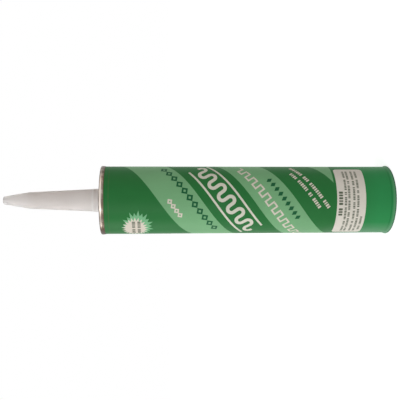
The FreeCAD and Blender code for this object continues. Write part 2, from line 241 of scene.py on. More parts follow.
class StageSettings(bpy.types.PropertyGroup):
    """Camera, lamps and floor."""

    camera_distance: length("Camera distance", "From the tube's axis to the camera", 474.52)
    camera_height: length("Camera height", "Height of the camera along the tube", 168.21)
    camera_pitch: turn("Camera pitch", "How far the camera looks towards the rear rim", 3.377)
    camera_roll: turn("Camera roll", "Roll of the picture from level", -0.137)
    focal_length: share("Focal length", "Lens in millimetres for a 36 mm sensor", 57.39)
    key_power: share("Key power", "Watts of the main lamp", 6.1)
    front_power: share("Front power", "Watts of the lamp beside the camera", 3.5)
    rim_power: share("Rim power", "Watts of the dim lamp on the far side", 0.25)
    ambient: share("Ambient", "Strength of the plain light from all round", 0.46)
    floor_lift: share("Floor lift", "White added to the floor in the camera's eye", 0.66)


SETTINGS = {
    "cartridge_tube": TubeSizes,
    "cartridge_print": PrintSizes,
    "cartridge_front_end": FrontEndSizes,
    "cartridge_nozzle": NozzleSizes,
    "cartridge_plunger": PlungerSizes,
    "cartridge_colours": CartridgeColours,
    "cartridge_stage": StageSettings,
}


# Sections

def rounded_section(corners):
    """Pieces of a closed section through (radius, height, fillet) corners, in order round it.

    Each piece is its start, the outward normal there, its end and the outward normal there, so that a
    turned surface gets the true normals of its arcs and its flats.
    """
    points = [Vector((radius, height)) for radius, height, fillet in corners]
    fillets = [fillet for radius, height, fillet in corners]
    area = sum(a.x * b.y - b.x * a.y for a, b in zip(points, points[1:] + points[:1]))
    if area < 0:
        points.reverse()
        fillets.reverse()
    count = len(points)
    arcs = []
    for index, point in enumerate(points):
        before = (points[index - 1] - point).normalized()
        after = (points[(index + 1) % count] - point).normalized()
        fillet = fillets[index]
        if fillet <= 0:
            arcs.append([(point, None)])
            continue
        half = before.angle(after) / 2
        centre = point + (before + after).normalized() * (fillet / math.sin(half))
        first = point + before * (fillet / math.tan(half)) - centre
        swing = first.angle_signed(point + after * (fillet / math.tan(half)) - centre)
        bulge = 1 if swing < 0 else -1
        steps = max(2, math.ceil(abs(swing) / ARC_STEP))
        arc = []
        for step in range(steps + 1):
            spoke = Matrix.Rotation(-swing * step / steps, 2) @ first
            arc.append((centre + spoke, spoke.normalized() * bulge))
        arcs.append(arc)
    pieces = []
    for index, arc in enumerate(arcs):
        for (start, start_normal), (end, end_normal) in zip(arc, arc[1:]):
            pieces.append((start, start_normal, end, end_normal))
        start = arc[-1][0]
        end = arcs[(index + 1) % count][0][0]
        along = end - start
        if along.length < AXIS_REACH or max(start.x, end.x) < AXIS_REACH:
            continue
        outward = Vector((along.y, -along.x)).normalized()
        pieces.append((start, outward, end, outward))
    return pieces


def sheet_section(corners, thickness):
    """Section of a formed sheet from the (radius, height, fillet) corners of its middle line."""
    half = thickness / 2
    one_side = []
    other_side = []
    for index, (radius, height, fillet) in enumerate(corners):
        point = Vector((radius, height))
        normals = []
        for start in (index - 1, index):
            if 0 <= start < len(corners) - 1:
                run = corners[start + 1][0] - corners[start][0]
                rise = corners[start + 1][1] - corners[start][1]
                normals.append(Vector((-rise, run)).normalized())
        middle = (normals[0] + normals[-1]).normalized()
        shift = middle * (half / middle.dot(normals[0]))
        bend = 0 if fillet == 0 else math.copysign(half, -normals[0].cross(normals[-1]))
        one_side.append((point.x + shift.x, point.y + shift.y, fillet + bend))
        other_side.append((point.x - shift.x, point.y - shift.y, fillet - bend))
    return rounded_section(one_side + other_side[::-1])


def flare_radius(tube, wall_offset, height):
    """Radius of the flared wall at a height, where wall_offset is measured outwards from the bore."""
    straight = tube.bore_radius + tube.wall + tube.label_thickness
    bend = (tube.flare_height ** 2 + tube.flare_growth ** 2) / (2 * tube.flare_growth)
    reach = straight + bend - tube.bore_radius - wall_offset
    below = max(0.0, tube.flare_height - height)
    return straight + bend - math.sqrt(reach ** 2 - below ** 2)


def flared_side(tube, wall_offset, low, upper):
    """Side of a flared wall as (point, outward normal) pairs from a height up, then the given ones."""
    steps = 10
    side = []
    for step in range(steps + 1):
        height = low + (tube.flare_height - low) * step / steps
        radius = flare_radius(tube, wall_offset, height)
        slope = (flare_radius(tube, wall_offset, height + MM / 100) - radius) / (MM / 100)
        side.append((Vector((radius, height)), Vector((1.0, -slope)).normalized()))
    return side + upper


def plain_side(tube, wall_offset, low, high):
    """Side of a flared wall that runs straight on up to a height."""
    end = Vector((tube.bore_radius + wall_offset, high))
    return flared_side(tube, wall_offset, low, [(end, OUTWARD)])


def disc_section(box):
    """Section of a plain disc or column that fills a box."""
    low, high = box
    corners = [(0.0, low.z, 0), (high.x, low.z, 0), (high.x, high.z, 0), (0.0, high.z, 0)]
    return rounded_section(corners)


def wall_section(outer, inner):
    """Section between an outer side and an inner side, each a list of (point, outward normal)."""
    pieces = []
    for (start, start_normal), (end, end_normal) in zip(outer, outer[1:]):
        pieces.append((start, start_normal, end, end_normal))
    top = (inner[-1][0] - outer[-1][0]).normalized()
    pieces.append((outer[-1][0], Vector((top.y, -top.x)), inner[-1][0], Vector((top.y, -top.x))))
    backwards = inner[::-1]
    for (start, start_normal), (end, end_normal) in zip(backwards, backwards[1:]):
        pieces.append((start, -start_normal, end, -end_normal))
    low = (outer[0][0] - inner[0][0]).normalized()
    pieces.append((inner[0][0], Vector((low.y, -low.x)), outer[0][0], Vector((low.y, -low.x))))
    return pieces


# Meshes

class MeshParts:
    """Vertices, faces and corner normals of one mesh while it is put together."""

    def __init__(self):
        self.vertices = []
        self.faces = []
        self.normals = []

    def add_face(self, corners, normals):
        """Add a face from the numbers of its vertices and the normal at each."""
        self.faces.append(corners)
        self.normals += normals

    def build(self, name):
        """Object that holds the finished mesh."""
        mesh = bpy.data.meshes.new(name)
        mesh.from_pydata(self.vertices, [], self.faces)
        mesh.shade_smooth()
        mesh.normals_split_custom_set(self.normals)
        piece = bpy.data.objects.new(name, mesh)
        bpy.context.scene.collection.objects.link(piece)
        return piece


def on_round(angle, radius, height):
    """Point at an angle round the label, a radius and a height."""
    return Vector((radius * math.sin(angle), -radius * math.cos(angle), height))


def add_turned(parts, section, start=0.0, sweep=2 * math.pi):
    """Add what a section makes as it turns about Z, with flat ends if it isn't a full turn."""
    whole = sweep > 2 * math.pi - 1e-6
    columns = max(1, round(COLUMNS * sweep / (2 * math.pi)))
    angles = [start + sweep * column / columns for column in range(columns + 1)]
    if whole:
        angles.pop()
    rings = {}

    def ring(point):
        key = (round(point.x, 9), round(point.y, 9))
        if key not in rings:
            first = len(parts.vertices)
            if point.x < AXIS_REACH:
                parts.vertices.append((0.0, 0.0, point.y))
                rings[key] = [first] * len(angles)
            else:
                parts.vertices.extend(on_round(angle, point.x, point.y) for angle in angles)
                rings[key] = list(range(first, first + len(angles)))
        return rings[key]

    for point, start_normal, end, end_normal in section:
        low, high = ring(point), ring(end)
        for column in range(columns):
            beside = (column + 1) % len(angles)
            here, there = angles[column], angles[beside]
            corners = [low[column], low[beside], high[beside], high[column]]
            normals = [
                on_round(here, start_normal.x, start_normal.y),
                on_round(there, start_normal.x, start_normal.y),
                on_round(there, end_normal.x, end_normal.y),
                on_round(here, end_normal.x, end_normal.y),
            ]
            if low[column] == low[beside]:
                corners.pop(0)
                normals.pop(0)
            elif high[column] == high[beside]:
                corners.pop()
                normals.pop()
            parts.add_face(corners, normals)
    if not whole:
        outline = [ring(piece[0]) for piece in section]
        for side, column in ((-1, 0), (1, -1)):
            corners = [loop[column] for loop in outline]
            across = on_round(angles[column] + side * math.pi / 2, 1.0, 0.0)
            parts.add_face(corners[::-1] if side > 0 else corners, [across] * len(corners))


def turned_piece(name, section):
    """Object made by turning a closed section about Z."""
    parts = MeshParts()
    add_turned(parts, section)
    return parts.build(name)


def add_film(parts, loops, inner_radius, outer_radius):
    """Add a thin closed film on the label, from an outline of (angle, height) points and its holes."""
    flat_loops = []
    for loop in loops:
        flat_loops.append([Vector((angle * outer_radius, height, 0.0)) for angle, height in loop])
    flat = [point for loop in flat_loops for point in loop]
    cutter = bmesh.new()
    corners = [cutter.verts.new(point) for point in flat]
    for triangle in tessellate_polygon(flat_loops):
        first, second, third = (flat[index] for index in triangle)
        area = (second - first).cross(third - first).z
        if abs(area) < 1e-14:
            continue
        order = triangle if area > 0 else triangle[::-1]
        cutter.faces.new([corners[index] for index in order])
    column = 2 * math.pi / COLUMNS * outer_radius
    first = math.floor(min(point.x for point in flat) / column)
    last = math.ceil(max(point.x for point in flat) / column)
    for index in range(first, last + 1):
        whole = cutter.verts[:] + cutter.edges[:] + cutter.faces[:]
        bmesh.ops.bisect_plane(cutter, geom=whole, plane_co=(index * column, 0, 0), plane_no=(1, 0, 0))
    cutter.verts.index_update()
    base = len(parts.vertices)
    count = len(cutter.verts)
    angles = [vertex.co.x / outer_radius for vertex in cutter.verts]
    heights = [vertex.co.y for vertex in cutter.verts]
    for radius in (outer_radius, inner_radius):
        parts.vertices.extend(
            on_round(angle, radius, height) for angle, height in zip(angles, heights))
    for face in cutter.faces:
        corners = [vertex.index for vertex in face.verts]
        outward = [on_round(angles[index], 1.0, 0.0) for index in corners]
        parts.add_face([base + index for index in corners], outward)
        inner = [base + count + index for index in corners[::-1]]
        parts.add_face(inner, [-normal for normal in outward[::-1]])
    for edge in cutter.edges:
        if len(edge.link_loops) != 1:
            continue
        loop = edge.link_loops[0]
        start, end = loop.vert.index, loop.link_loop_next.vert.index
        run = parts.vertices[base + end] - parts.vertices[base + start]
        side = run.cross(on_round(angles[start], 1.0, 0.0)).normalized()
        walls = [base + end, base + start, base + count + start, base + count + end]
        parts.add_face(walls, [side] * len(walls))
    cutter.free()


def printed_film(name, shapes, layer=1):
    """Object of ink films, each an outline and its holes; a higher layer lies on a lower one."""
    film = bpy.context.scene.cartridge_print.film
    paper = label_radius()
    parts = MeshParts()
    for loops in shapes:
        add_film(parts, loops, paper + film * (layer - 1.5), paper + film * layer)
    return parts.build(name)


# Outlines on the label

def label_radius():
    """Outer radius of the straight label."""
    tube = bpy.context.scene.cartridge_tube
    return tube.bore_radius + tube.wall + tube.label_thickness


def along_stripes(centre_angle, centre_height, points):
    """Points given along and across the stripes, as (angle, height) on the label."""
    radius = label_radius()
    tilt = math.atan2(bpy.context.scene.cartridge_print.lead, 2 * math.pi * radius)
    placed = []
    for along, across in points:
        distance = along * math.cos(tilt) - across * math.sin(tilt)
        rise = along * math.sin(tilt) + across * math.cos(tilt)
        placed.append((centre_angle + distance / radius, centre_height + rise))
    return placed


def clipped(outline, level, side):
    """The part of an (angle, height) outline above a level, for side 1, or below it, for side -1."""
    kept = []
    for (angle, height), (next_angle, next_height) in zip(outline, outline[1:] + outline[:1]):
        above = side * (height - level)
        next_above = side * (next_height - level)
        if above >= 0:
            kept.append((angle, height))
        if above * next_above < 0:
            part = above / (above - next_above)
            kept.append((angle + part * (next_angle - angle), level))
    return kept


def stripe_outline(front_edge):
    """Outline of one helical stripe between the plain rear zone and the label's top."""
    ink = bpy.context.scene.cartridge_print
    rise = ink.lead * ink.stripe_end / (2 * math.pi)
    rear_edge = front_edge - ink.stripe_width
    outline = [
        (-ink.stripe_end, rear_edge - rise),
        (ink.stripe_end, rear_edge + rise),
        (ink.stripe_end, front_edge + rise),
        (-ink.stripe_end, front_edge - rise),
    ]
    return clipped(clipped(outline, ink.cutoff, 1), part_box("label")[1].z, -1)


def rounded_block(along, across, width, height, corner, steps=4):
    """Rounded rectangle about a point, in flat coordinates."""
    corner = min(corner, width / 2, height / 2)
    outline = []
    quarters = ((1, 1, 0.0), (-1, 1, 0.5), (-1, -1, 1.0), (1, -1, 1.5))
    for side, end, first in quarters:
        for step in range(steps + 1):
            angle = math.pi * (first + 0.5 * step / max(steps, 1))
            outline.append((
                along + side * (width / 2 - corner) + corner * math.cos(angle),
                across + end * (height / 2 - corner) + corner * math.sin(angle),
            ))
    return outline


def burst_outline(centre_angle, centre_height, inner, outer, spread=0.0, first_turn=0.0):
    """Star of thin spikes from a first one on, where every second spike is longer by the spread."""
    radius = label_radius()
    stretch = bpy.context.scene.cartridge_print.burst_stretch
    outline = []
    for index in range(2 * BURST_SPIKES):
        angle = first_turn + math.pi * index / BURST_SPIKES
        reach = inner if index % 2 else outer + spread * (-1 if index % 4 else 1) / 2
        outline.append((
            centre_angle + stretch * reach * math.cos(angle) / radius,
            centre_height + reach * math.sin(angle),
        ))
    return outline


def bead_outline():
    """Winding stroke of half circles joined by short legs, one side of it and then the other back."""
    ink = bpy.context.scene.cartridge_print
    steps = 16
    turn_radius = ink.ornament_length / BEAD_TURNS / 2
    sides = []
    for side in (1, -1):
        edge = side * ink.bead_stroke / 2
        points = [(-ink.ornament_length / 2 - edge, 0.0)]
        for index in range(BEAD_TURNS):
            up = 1 if index % 2 == 0 else -1
            centre = turn_radius * (2 * index + 1) - ink.ornament_length / 2
            radius = turn_radius + up * edge
            for step in range(steps + 1):
                sweep = math.pi * step / steps
                points.append((
                    centre - radius * math.cos(sweep),
                    up * (ink.bead_leg / 2 + radius * math.sin(sweep)),
                ))
        last = -1 if BEAD_TURNS % 2 == 0 else 1
        points.append((ink.ornament_length / 2 + last * edge, 0.0))
        sides.append(points)
    return along_stripes(ink.ornament_angle, ink.ornament_height, sides[0] + sides[1][::-1])


def lozenge(along, width, tall, size):
    """Corners of a lozenge from a place on, scaled about its middle."""
    corners = ((1, 0), (0, 1), (-1, 0), (0, -1))
    return [(along + width / 2 * (1 + size * x), tall / 2 * size * y) for x, y in corners]


def open_lozenge(along, tall, stroke):
    """Outline of a lozenge with a lozenge hole, and its width."""
    width = tall * 1.04
    inner = 1.0 - stroke * math.hypot(2 / width, 2 / tall)
    loops = []
    for size in (1.0, inner):
        loops.append(lozenge(along, width, tall, size))
    return [loops], width


def solid_lozenge(along, tall, stroke):
    """Outline of a plain lozenge, and its width."""
    width = tall * 0.66
    return [[lozenge(along, width, tall, 1.0)]], width


def square_wave(along, tall, stroke):
    """Outline of one meander bend, open to one side and then to the other, and its width."""
    width = tall * 1.28
    half = width / 2
    top = tall / 2
    upper = [
        (0.0, -top), (stroke, -top), (stroke, top - stroke), (half, top - stroke),
        (half, -top), (width, -top), (width, stroke - top), (half + stroke, stroke - top),
        (half + stroke, top), (0.0, top),
    ]
    return [[[(along + x, y) for x, y in upper]]], width


def border_row(angle, height, total, tall, stroke, motifs):
    """Row of motifs along the stripes, spaced evenly over its length and centred on a place."""
    widths = [motif(0.0, tall, stroke)[1] for motif in motifs]
    gap = (total - sum(widths)) / (len(motifs) - 1)
    position = -total / 2
    shapes = []
    for motif, width in zip(motifs, widths):
        for loops in motif(position, tall, stroke)[0]:
            shapes.append([along_stripes(angle, height, loop) for loop in loops])
        position += width + gap
    return shapes


def stroke_line(angle, height, total, tall, groups, slanted):
    """Line of short strokes in groups, as dense as small print, centred on a place."""
    shares = (0.62, 0.8, 0.5, 0.72)
    radius = label_radius()
    step = total / (sum(groups) + len(groups) - 1)
    position = -total / 2
    shapes = []
    for count in groups:
        for index in range(count):
            width = step * shares[(index + count) % len(shares)]
            stroke = rounded_block(position + step / 2, 0.0, width, tall, width * 0.2, 1)
            if slanted:
                shapes.append([along_stripes(angle, height, stroke)])
            else:
                shapes.append([[(angle + x / radius, height + y) for x, y in stroke]])
            position += step
        position += step
    return shapes


def stroke_lines(lines, slanted):
    """Several lines of strokes: angle, height, length, height of a stroke, strokes in each group."""
    strokes = []
    for angle, level, total, tall, groups in lines:
        strokes += stroke_line(
            math.radians(angle), level * MM, total * MM, tall * MM, groups, slanted)
    return strokes


# Finishes

def new_group(name, inputs):
    """Shader node group for a colour, a roughness and a relief height, and its two end nodes."""
    group = bpy.data.node_groups.new(name, "ShaderNodeTree")
    for label, kind, default in inputs:
        socket = group.interface.new_socket(label, in_out="INPUT", socket_type="NodeSocket" + kind)
        socket.default_value = default
    for label, kind in (("Color", "Color"), ("Roughness", "Float"), ("Height", "Float")):
        group.interface.new_socket(label, in_out="OUTPUT", socket_type="NodeSocket" + kind)
    return group, group.nodes.new("NodeGroupInput"), group.nodes.new("NodeGroupOutput")


def add_node(tree, kind, **inputs):
    """Node with its inputs set: a socket is linked and anything else is a value.

    A name that starts with set_ sets a property of the node, and in_N is the input numbered N.
    """
    node = tree.nodes.new("ShaderNode" + kind)
    for name, value in inputs.items():
        if name.startswith("set_"):
            setattr(node, name[4:], value)
    for name, value in inputs.items():
        if name.startswith("set_"):
            continue
        place = int(name[3:]) if name.startswith("in_") else name.replace("_", " ")
        socket = node.inputs[place]
        if isinstance(value, bpy.types.NodeSocket):
            tree.links.new(value, socket)
        else:
            socket.default_value = value
    return node


def noise(tree, vector, scale, detail=3.0, roughness=0.55):
    """Noise value over the given coordinates."""
    node = add_node(tree, "TexNoise", Vector=vector, Scale=scale, Detail=detail, Roughness=roughness)
    return node.outputs["Fac"]


def ramp(tree, value, low, high, to_low=0.0, to_high=1.0):
    """Value mapped from one range to another, and held at its ends."""
    node = add_node(
        tree, "MapRange", Value=value, From_Min=low, From_Max=high, To_Min=to_low, To_Max=to_high)
    return node.outputs["Result"]


def maths(tree, operation, first, second):
    """One arithmetic step."""
    node = add_node(tree, "Math", set_operation=operation, in_0=first, in_1=second)
    return node.outputs["Value"]


def times(tree, first, second):
    """Product of two values."""
    return maths(tree, "MULTIPLY", first, second)


def plus(tree, first, second):
    """Sum of two values."""
    return maths(tree, "ADD", first, second)


def weighted(tree, first, second, weight):
    """Mean of two values, with the first one's weight out of 1."""
    return plus(tree, times(tree, first, weight), times(tree, second, 1.0 - weight))


def tinted(tree, base, tint, amount, blend="MIX"):
    """Base colour mixed with a tint."""
    node = add_node(tree, "MixRGB", set_blend_type=blend, Fac=amount, Color1=base, Color2=tint)
    return node.outputs["Color"]


def object_place(tree):
    """Coordinates in the cartridge's own frame."""
    return add_node(tree, "TexCoord").outputs["Object"]


def coordinate(tree, axis):
    """One of the cartridge's three coordinates."""
    return add_node(tree, "SeparateXYZ", Vector=object_place(tree)).outputs[axis]


def stretched(tree, x, y, z):
    """The cartridge's coordinates scaled along each axis."""
    node = add_node(tree, "Mapping", Vector=object_place(tree), Scale=(x, y, z))
    return node.outputs["Vector"]


def mottled(tree, base, value, amount, strength=1.0):
    """Base colour made lighter and darker by a value about a half, as far as the amount says."""
    swing = times(tree, maths(tree, "SUBTRACT", value, 0.5), amount)
    bright = plus(tree, 1.0, times(tree, swing, strength))
    level = add_node(tree, "CombineColor", Red=bright, Green=bright, Blue=bright).outputs["Color"]
    return tinted(tree, base, level, 1.0, "MULTIPLY")


def send(group, result, colour_value, roughness, height):
    """Link a group's three results to its output node."""
    for name, value in (("Color", colour_value), ("Roughness", roughness), ("Height", height)):
        group.links.new(value, result.inputs[name])


def print_group():
    """Ink on coated paper: faint mottle, fibre grain and uneven gloss."""
    group, source, result = new_group("ink_on_paper", [
        ("Ink", "Color", (0.5, 0.5, 0.5, 1.0)),
        ("Mottle", "Float", 0.1),
        ("Gloss", "Float", 0.4),
    ])
    inputs = source.outputs
    mottle = noise(group, object_place(group), 70.0, 3.0)
    grain = noise(group, object_place(group), 1400.0, 2.0)
    streaks = noise(group, stretched(group, 1.0, 1.0, 0.12), 260.0, 2.0)
    shade = weighted(group, mottle, grain, 0.6)
    ink = mottled(group, inputs["Ink"], shade, inputs["Mottle"], 2.4)
    rough = plus(group, inputs["Gloss"], times(group, streaks, 0.12))
    send(group, result, ink, rough, weighted(group, mottle, grain, 0.7))
    return group


def moulded_group():
    """Natural moulded plastic: cloudy colour, faint flow lines along the part."""
    group, source, result = new_group("moulded_plastic", [
        ("Plastic", "Color", (0.8, 0.8, 0.8, 1.0)),
        ("Cloud", "Float", 0.1),
        ("Gloss", "Float", 0.4),
    ])
    inputs = source.outputs
    cloud = noise(group, object_place(group), 55.0, 3.0)
    flow = noise(group, stretched(group, 1.0, 1.0, 0.06), 420.0, 3.0)
    plastic = mottled(group, inputs["Plastic"], cloud, inputs["Cloud"])
    rough = plus(group, inputs["Gloss"], times(group, flow, 0.1))
    send(group, result, plastic, rough, flow)
    return group


def metal_group():
    """Thin sheet metal: tarnished patches and fine forming lines round the part."""
    group, source, result = new_group("sheet_metal", [
        ("Metal", "Color", (0.8, 0.8, 0.8, 1.0)),
        ("Tarnish", "Color", (0.3, 0.2, 0.15, 1.0)),
        ("Cover", "Float", 0.5),
        ("Gloss", "Float", 0.3),
    ])
    inputs = source.outputs
    patches = noise(group, object_place(group), 130.0, 4.0, 0.6)
    specks = noise(group, object_place(group), 900.0, 2.0)
    lines = noise(group, stretched(group, 0.05, 0.05, 1.0), 2200.0, 2.0)
    mask = times(group, ramp(group, patches, 0.38, 0.68), inputs["Cover"])
    metal = tinted(group, inputs["Metal"], inputs["Tarnish"], mask)
    rough = plus(group, inputs["Gloss"], times(group, patches, 0.25))
    send(group, result, metal, rough, weighted(group, specks, lines, 0.3))
    return group


GROUP_MAKERS = {
    "ink_on_paper": print_group,
    "moulded_plastic": moulded_group,
    "sheet_metal": metal_group,
}


def shared_group(name):
    """The named effect group, built the first time that a material asks for it."""
    return bpy.data.node_groups.get(name) or GROUP_MAKERS[name]()


def new_material(name, group_name, values, metallic=0.0, relief=0.00002, specular=0.5):
    """Material whose colour, roughness and fine relief come from an effect group."""
    material = bpy.data.materials.new(name)
    material.use_nodes = True
    tree = material.node_tree
    shader = tree.nodes["Principled BSDF"]
    effect = tree.nodes.new("ShaderNodeGroup")
    effect.node_tree = shared_group(group_name)
    for label, value in values.items():
        effect.inputs[label].default_value = value
    bump = add_node(tree, "Bump", Height=effect.outputs["Height"], Distance=relief, Strength=1.0)
    tree.links.new(effect.outputs["Color"], shader.inputs["Base Color"])
    tree.links.new(effect.outputs["Roughness"], shader.inputs["Roughness"])
    tree.links.new(bump.outputs["Normal"], shader.inputs["Normal"])
    shader.inputs["Metallic"].default_value = metallic
    shader.inputs["Specular IOR Level"].default_value = specular
    return material


def opaque(rgb):
    """Colour property with full alpha."""
    return (rgb[0], rgb[1], rgb[2], 1.0)


def ink_material(name, rgb, mottle=0.1, gloss=0.4):
    """Printed ink or plain board."""
    values = {"Ink": opaque(rgb), "Mottle": mottle, "Gloss": gloss}
    return new_material(name, "ink_on_paper", values, relief=0.00001, specular=0.12)


def plastic_material(name, rgb, cloud=0.08, gloss=0.4, cloudy=0.25, depth=2.0 * MM):
    """Natural moulded plastic, which lets light in as far as its depth."""
    values = {"Plastic": opaque(rgb), "Cloud": cloud, "Gloss": gloss}
    material = new_material(name, "moulded_plastic", values, relief=0.00001)
    shader = material.node_tree.nodes["Principled BSDF"]
    shader.subsurface_method = "BURLEY"
    shader.inputs["Subsurface Weight"].default_value = cloudy
    shader.inputs["Subsurface Radius"].default_value = (depth, depth * 0.95, depth * 0.9)
    shader.inputs["Subsurface Scale"].default_value = 1.0
    return material


def metal_material(name, rgb, tarnish, cover, gloss):
    """Sheet metal with tarnish."""
    values = {"Metal": opaque(rgb), "Tarnish": opaque(tarnish), "Cover": cover, "Gloss": gloss}
    return new_material(name, "sheet_metal", values, metallic=1.0, relief=0.00001)


def height_band(tree, low, high, soft):
    """Mask that is 1 between two heights on the cartridge and fades out past them."""
    height = coordinate(tree, "Z")
    above = ramp(tree, height, low - soft, low)
    below = ramp(tree, height, high, high + soft, 1.0, 0.0)
    return times(tree, above, below)


def lay_colour(material, mask, amount, rgb):
    """Lay a colour over a material's own, by a mask times an amount."""
    tree = material.node_tree
    base = tree.nodes["Principled BSDF"].inputs["Base Color"]
    cover = times(tree, mask, amount)
    tree.links.new(tinted(tree, base.links[0].from_socket, opaque(rgb), cover), base)


def dress(piece, material, body, slot, *nodes):
    """Give a piece its finish and its body, and hide the nodes that it stands for; the slot is not
    used.
    """
    piece.data.materials.append(material)
    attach(piece, body)
    if nodes:
        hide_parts(*nodes)
    return piece


# Operators

class CARTRIDGE_OT_tube(bpy.types.Operator):
    """Paperboard tube with its flared rear rim"""

    bl_idname = "cartridge.tube"
    bl_label = "Paperboard Tube"

    def execute(self, context):
        tube = context.scene.cartridge_tube
        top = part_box("tube")[1].z
        outer_radius = tube.bore_radius + tube.wall
        swollen = outer_radius + tube.flange_growth
        slope = Vector((tube.flange_slope, -tube.flange_growth)).normalized()
        bend = (OUTWARD + slope).normalized()
        outer = flared_side(tube, tube.wall, 0.0, [
            (Vector((outer_radius, tube.flange_low - tube.flange_slope)), bend),
            (Vector((swollen, tube.flange_low)), bend),
            (Vector((swollen, top)), OUTWARD),
        ])
        inner = plain_side(tube, 0.0, 0.0, top)
        colours = context.scene.cartridge_colours
        board = ink_material("paperboard", colours.board, 0.3, 0.7)
        # Darker towards the rear edge of the board.
        rim_darkening = height_band(board.node_tree, -3.0 * MM, 0.4 * MM, 0.4 * MM)
        lay_colour(board, rim_darkening, 1.0, colours.rim_edge)
        piece = turned_piece("tube_body", wall_section(outer, inner))
        dress(piece, board, "cartridge", "paperboard", "tube")
        return {"FINISHED"}


class CARTRIDGE_OT_label(bpy.types.Operator):
    """Green paper wrap with its crease near the seam and its glued lap at the back"""

    bl_idname = "cartridge.label"
    bl_label = "Printed Wrap"

    def execute(self, context):
        tube = context.scene.cartridge_tube
        low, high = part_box("label")[0].z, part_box("label")[1].z
        thickness = tube.label_thickness
        parts = MeshParts()
        upper = self.crease(tube) + [(Vector((label_radius(), high)), OUTWARD)]
        outer = flared_side(tube, tube.wall + thickness, low, upper)
        add_turned(parts, wall_section(outer, plain_side(tube, tube.wall, low, high)))
        lap_outer = plain_side(tube, tube.wall + 2 * thickness, low, high)
        lap_inner = plain_side(tube, tube.wall + thickness / 2, low, high)
        lap = wall_section(lap_outer, lap_inner)
        add_turned(parts, lap, math.pi - tube.lap_width / 2, tube.lap_width)
        colours = context.scene.cartridge_colours
        green = ink_material("label_green", colours.dark_green)
        self.add_marks_and_painted_light(green, tube.crease_height, colours)
        dress(parts.build("printed_wrap"), green, "cartridge", "label_green", "label")
        return {"FINISHED"}

    def crease(self, tube):
        """Side of the shallow crease, as (point, outward normal) pairs."""
        steps = 8
        side = []
        for step in range(steps + 1):
            position = 2 * step / steps - 1
            depth = tube.crease_depth * (0.5 + 0.5 * math.cos(math.pi * position))
            lean = tube.crease_depth * math.pi / tube.crease_width * math.sin(math.pi * position)
            height = tube.crease_height + position * tube.crease_width / 2
            side.append((Vector((label_radius() - depth, height)), Vector((1.0, -lean)).normalized()))
        return side

    def add_marks_and_painted_light(self, green, crease_height, colours):
        """Paint light on the rear, tint the crease, paint shade at the flare's bend, a highlight line
        and a darker edge on the rear rim, and sheen on the rear's two sides.
        """
        tree = green.node_tree
        # Painted light: the rear of the wrap is painted lighter, as if more light fell there.
        rear = height_band(tree, -10.0 * MM, 12.0 * MM, 34.0 * MM)
        lay_colour(green, rear, 1.0, colours.rear_painted_light)
        rubbed = noise(tree, object_place(tree), 300.0, 2.0)
        mark = height_band(tree, crease_height - 0.2 * MM, crease_height + 0.2 * MM, 0.4 * MM)
        lay_colour(green, mark, ramp(tree, rubbed, 0.3, 0.6, 0.06, 0.16), colours.tarnish)
        # Painted shade in the crease at the flare's start, a painted highlight line on the rim, and a
        # darker rim edge.
        rim_bands = (
            (3.0, 3.5, 0.3, 0.35, colours.print_green),
            (0.9, 1.4, 1.2, 0.2, colours.rim_painted_sheen),
            (-3.0, 0.5, 0.3, 0.7, colours.rim_edge),
        )
        for band_low, band_high, soft, amount, rgb in rim_bands:
            band = height_band(tree, band_low * MM, band_high * MM, soft * MM)
            lay_colour(green, band, amount, rgb)
        # Painted sheen along the rear's two sides, strongest on the -X side.
        across = coordinate(tree, "X")
        rear_sheen_zone = height_band(tree, -3.0 * MM, 28.0 * MM, 24.0 * MM)
        for near, far, amount in ((-16.5, -24.5, 0.26), (19.5, 25.0, 0.08)):
            side = ramp(tree, across, near * MM, far * MM)
            lay_colour(green, times(tree, rear_sheen_zone, side), amount, colours.rim_painted_sheen)


class CARTRIDGE_OT_stripes(bpy.types.Operator):
    """Three helical stripes of light green ink"""

    bl_idname = "cartridge.stripes"
    bl_label = "Stripes"

    def execute(self, context):
        ink = context.scene.cartridge_print
        green = ink_material("light_green_ink", context.scene.cartridge_colours.light_green)
        for index, node in enumerate(("stripe_front", "stripe_middle", "stripe_rear")):
            outline = stripe_outline(ink.first_edge - index * ink.stripe_pitch)
            piece = printed_film(node + "_ink", [[outline]])
            dress(piece, green, "cartridge", "light_green_ink", node)
        return {"FINISHED"}


class CARTRIDGE_OT_panel(bpy.types.Operator):
    """Pale text panel with lines of plain strokes in place of its print"""

    bl_idname = "cartridge.panel"
    bl_label = "Text Panel"

    def execute(self, context):
        ink = context.scene.cartridge_print
        colours = context.scene.cartridge_colours
        radius = label_radius()
        middle = (ink.panel_start + ink.panel_end) / 2
        width = (ink.panel_end - ink.panel_start) * radius
        height = ink.panel_high - ink.panel_low
        centre = (ink.panel_low + ink.panel_high) / 2
        flat = rounded_block(0.0, centre, width, height, ink.panel_corner, 8)
        outline = [(middle + x / radius, y) for x, y in flat]
        pale = ink_material("panel_ink", colours.panel, 0.12)
        panel = printed_film("text_panel_ink", [[outline]])
        dress(panel, pale, "cartridge", "cream_ink", "text_panel")
        grey = ink_material("print_grey_ink", colours.print_grey, 0.2)
        lines = (
            (-7.0, 40.45, 18.2, 2.9, (3, 5)),
            (-5.5, 36.9, 53.0, 1.6, (6, 3, 8, 5, 2, 7, 6)),
            (-5.5, 34.4, 53.0, 1.6, (4, 7, 3, 6, 8, 2, 7)),
            (-5.5, 30.8, 53.0, 1.6, (7, 2, 6, 4, 8, 3, 7)),
            (-5.5, 27.9, 53.0, 1.6, (3, 8, 5, 7, 2, 6, 6)),
            (-45.0, 24.9, 14.0, 1.6, (4, 6)),
        )
        strokes = stroke_lines(lines, False)
        dress(printed_film("panel_print", strokes, 2), grey, "cartridge", "cream_ink")
        return {"FINISHED"}


